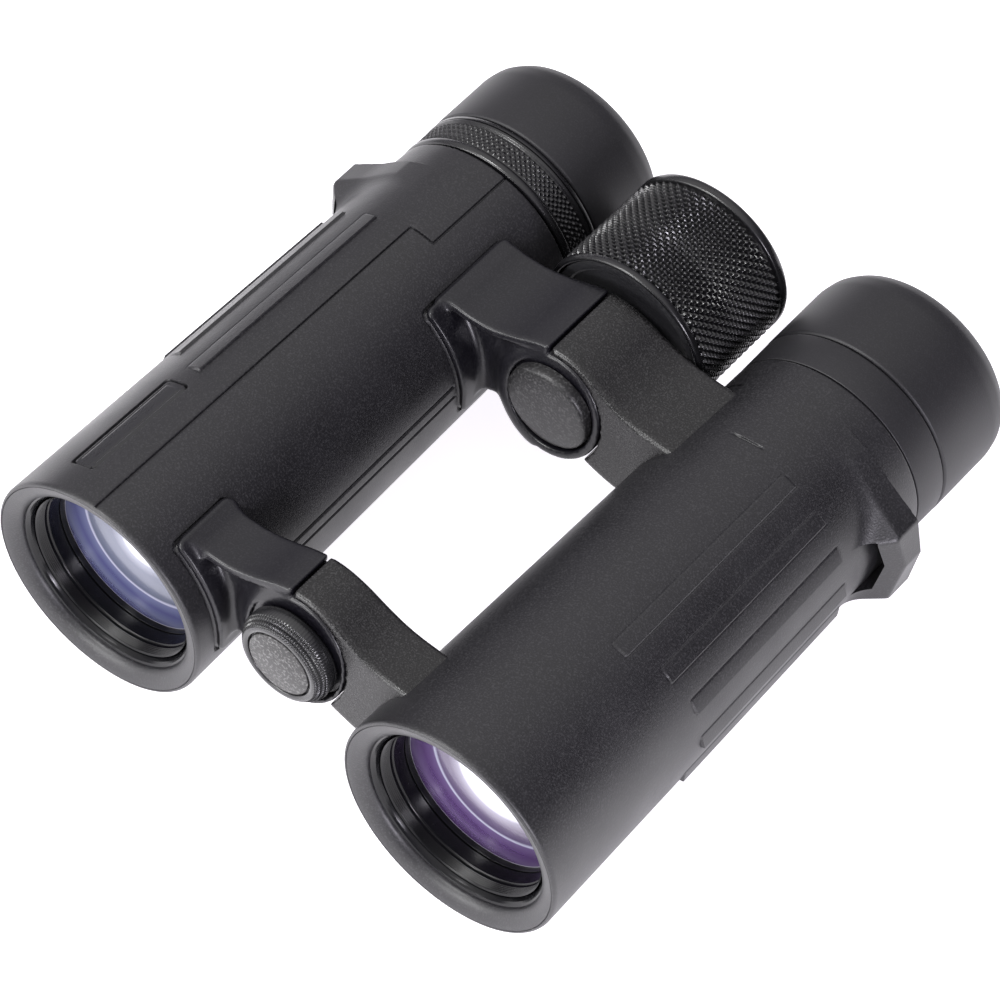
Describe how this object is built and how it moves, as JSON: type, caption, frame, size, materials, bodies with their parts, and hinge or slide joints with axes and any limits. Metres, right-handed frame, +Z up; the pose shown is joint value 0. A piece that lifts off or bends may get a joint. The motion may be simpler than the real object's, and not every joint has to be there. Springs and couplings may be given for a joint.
{
  "type": "binoculars",
  "caption": "Rubber-armoured roof-prism binoculars with an open double bridge, a knurled central focus wheel, twist-up eyecups and a folding hinge.",
  "frame": {"origin": "bottom centre of the overall box, barrels lying level", "axes": "+Z up; -Y is the way the objectives look, +Y towards the eyecups; +X is the fixed left barrel, -X the folding right barrel"},
  "size_m": [0.1204, 0.1238, 0.0467],
  "materials": {
    "armour_rubber": "matte, fine-grained",
    "eyecup_rubber": "matte",
    "painted_casting": "fine-textured semi-gloss black",
    "black_tube": "satin black",
    "black_ring": "black anodised",
    "wheel_rubber": "satin, knurled",
    "plain_steel": "turned",
    "plain_brass": "turned",
    "black_plastic": "satin",
    "coated_glass": "polished, violet coating",
    "clear_glass": "polished",
    "badge_plate": "satin, blank"
  },
  "bodies": {
    "left_barrel": {"left_armour": "armour_rubber", "left_barrel_tube": "black_tube", "left_objective_retaining_ring": "black_ring", "left_objective_lens": "coated_glass", "left_objective_cell": "black_tube", "left_prism_holder": "black_plastic", "left_half_penta_prism": "clear_glass", "left_roof_prism": "clear_glass", "left_ocular_tube": "black_plastic", "left_eyepiece_spacer": "black_tube", "left_eye_lens": "coated_glass", "left_eye_lens_ring": "black_ring", "left_front_bridge": "painted_casting", "left_rear_bridge": "painted_casting", "left_field_cell": "black_tube", "left_field_lens": "clear_glass", "left_collar_ring": "black_plastic", "front_axle": "plain_steel", "front_axle_cap": "black_ring", "rear_bush_front": "plain_brass", "rear_bush_back": "plain_brass"},
    "right_barrel": {"right_armour": "armour_rubber", "right_barrel_tube": "black_tube", "right_objective_retaining_ring": "black_ring", "right_objective_lens": "coated_glass", "right_objective_cell": "black_tube", "right_prism_holder": "black_plastic", "right_half_penta_prism": "clear_glass", "right_roof_prism": "clear_glass", "right_ocular_tube": "black_plastic", "right_eyepiece_spacer": "black_tube", "right_eye_lens": "coated_glass", "right_eye_lens_ring": "black_ring", "right_front_bridge": "painted_casting", "right_rear_bridge": "painted_casting", "right_badge_inlay": "badge_plate", "rear_hinge_cap": "painted_casting"},
    "focus_wheel": {"focus_wheel_core": "black_plastic", "focus_wheel_grip": "wheel_rubber", "focus_wheel_end_cap": "painted_casting", "focus_spindle": "plain_steel"},
    "focus_slider": {"focus_slider": "plain_brass"},
    "left_focus_group": {"left_focus_carriage": "black_tube", "left_focusing_lens": "clear_glass"},
    "right_focus_group": {"right_focus_carriage": "black_tube", "right_focusing_lens": "clear_glass"},
    "diopter_ring": {"right_diopter_ring": "wheel_rubber"},
    "right_field_group": {"right_field_cell": "black_tube", "right_field_lens": "clear_glass"},
    "left_eyecup_sleeve": {"left_eyecup_carrier": "black_plastic"},
    "left_eyecup": {"left_eyecup": "eyecup_rubber"},
    "right_eyecup_sleeve": {"right_eyecup_carrier": "black_plastic"},
    "right_eyecup": {"right_eyecup": "eyecup_rubber"},
    "front_screw_cap": {"front_screw_cap": "black_ring", "front_cap_disc": "black_plastic"}
  },
  "joints": [
    {"name": "barrel_fold", "type": "hinge", "parent": "left_barrel", "child": "right_barrel", "pos_m": [0, -0.0459, 0.0304], "axis": [0, -1, 0], "range_deg": [-1.5, 52]},
    {"name": "focus_turn", "type": "hinge", "parent": "left_barrel", "child": "focus_wheel", "pos_m": [0, 0.039, 0.0304], "axis": [0, 1, 0], "range_deg": [-195, 270]},
    {"name": "focus_slider_slide", "type": "slide", "parent": "left_barrel", "child": "focus_slider", "axis": [0, 1, 0], "range_m": [-0.0013, 0.0018]},
    {"name": "left_focus_slide", "type": "slide", "parent": "left_barrel", "child": "left_focus_group", "axis": [0, 1, 0], "range_m": [-0.0013, 0.0018]},
    {"name": "right_focus_slide", "type": "slide", "parent": "right_barrel", "child": "right_focus_group", "axis": [0, 1, 0], "range_m": [-0.0013, 0.0018]},
    {"name": "diopter_turn", "type": "hinge", "parent": "right_barrel", "child": "diopter_ring", "pos_m": [-0.036, 0.0399, 0.0211], "axis": [0, 1, 0], "range_deg": [-40, 40]},
    {"name": "diopter_slide", "type": "slide", "parent": "right_barrel", "child": "right_field_group", "axis": [0, 1, 0], "range_m": [-0.0007, 0.0007]},
    {"name": "left_eyecup_turn", "type": "hinge", "parent": "left_barrel", "child": "left_eyecup_sleeve", "pos_m": [0.036, 0.05, 0.0211], "axis": [0, 1, 0], "range_deg": [0, 120]},
    {"name": "left_eyecup_rise", "type": "slide", "parent": "left_eyecup_sleeve", "child": "left_eyecup", "axis": [0, 1, 0], "range_m": [0, 0.0075]},
    {"name": "right_eyecup_turn", "type": "hinge", "parent": "right_barrel", "child": "right_eyecup_sleeve", "pos_m": [-0.036, 0.05, 0.0211], "axis": [0, 1, 0], "range_deg": [0, 120]},
    {"name": "right_eyecup_rise", "type": "slide", "parent": "right_eyecup_sleeve", "child": "right_eyecup", "axis": [0, 1, 0], "range_m": [0, 0.0075]},
    {"name": "front_cap_unscrew", "type": "slide", "parent": "left_barrel", "child": "front_screw_cap", "axis": [0, -1, 0], "range_m": [0, 0.009]}
  ],
  "couplings": [
    {"joint": "focus_slider_slide", "follows": "focus_turn", "m_per_rad": 0.00038197},
    {"joint": "left_focus_slide", "follows": "focus_turn", "m_per_rad": 0.00038197},
    {"joint": "right_focus_slide", "follows": "focus_turn", "m_per_rad": 0.00038197},
    {"joint": "diopter_slide", "follows": "diopter_turn", "m_per_rad": 0.0010027},
    {"joint": "left_eyecup_rise", "follows": "left_eyecup_turn", "m_per_rad": 0.003581},
    {"joint": "right_eyecup_rise", "follows": "right_eyecup_turn", "m_per_rad": 0.003581}
  ]
}
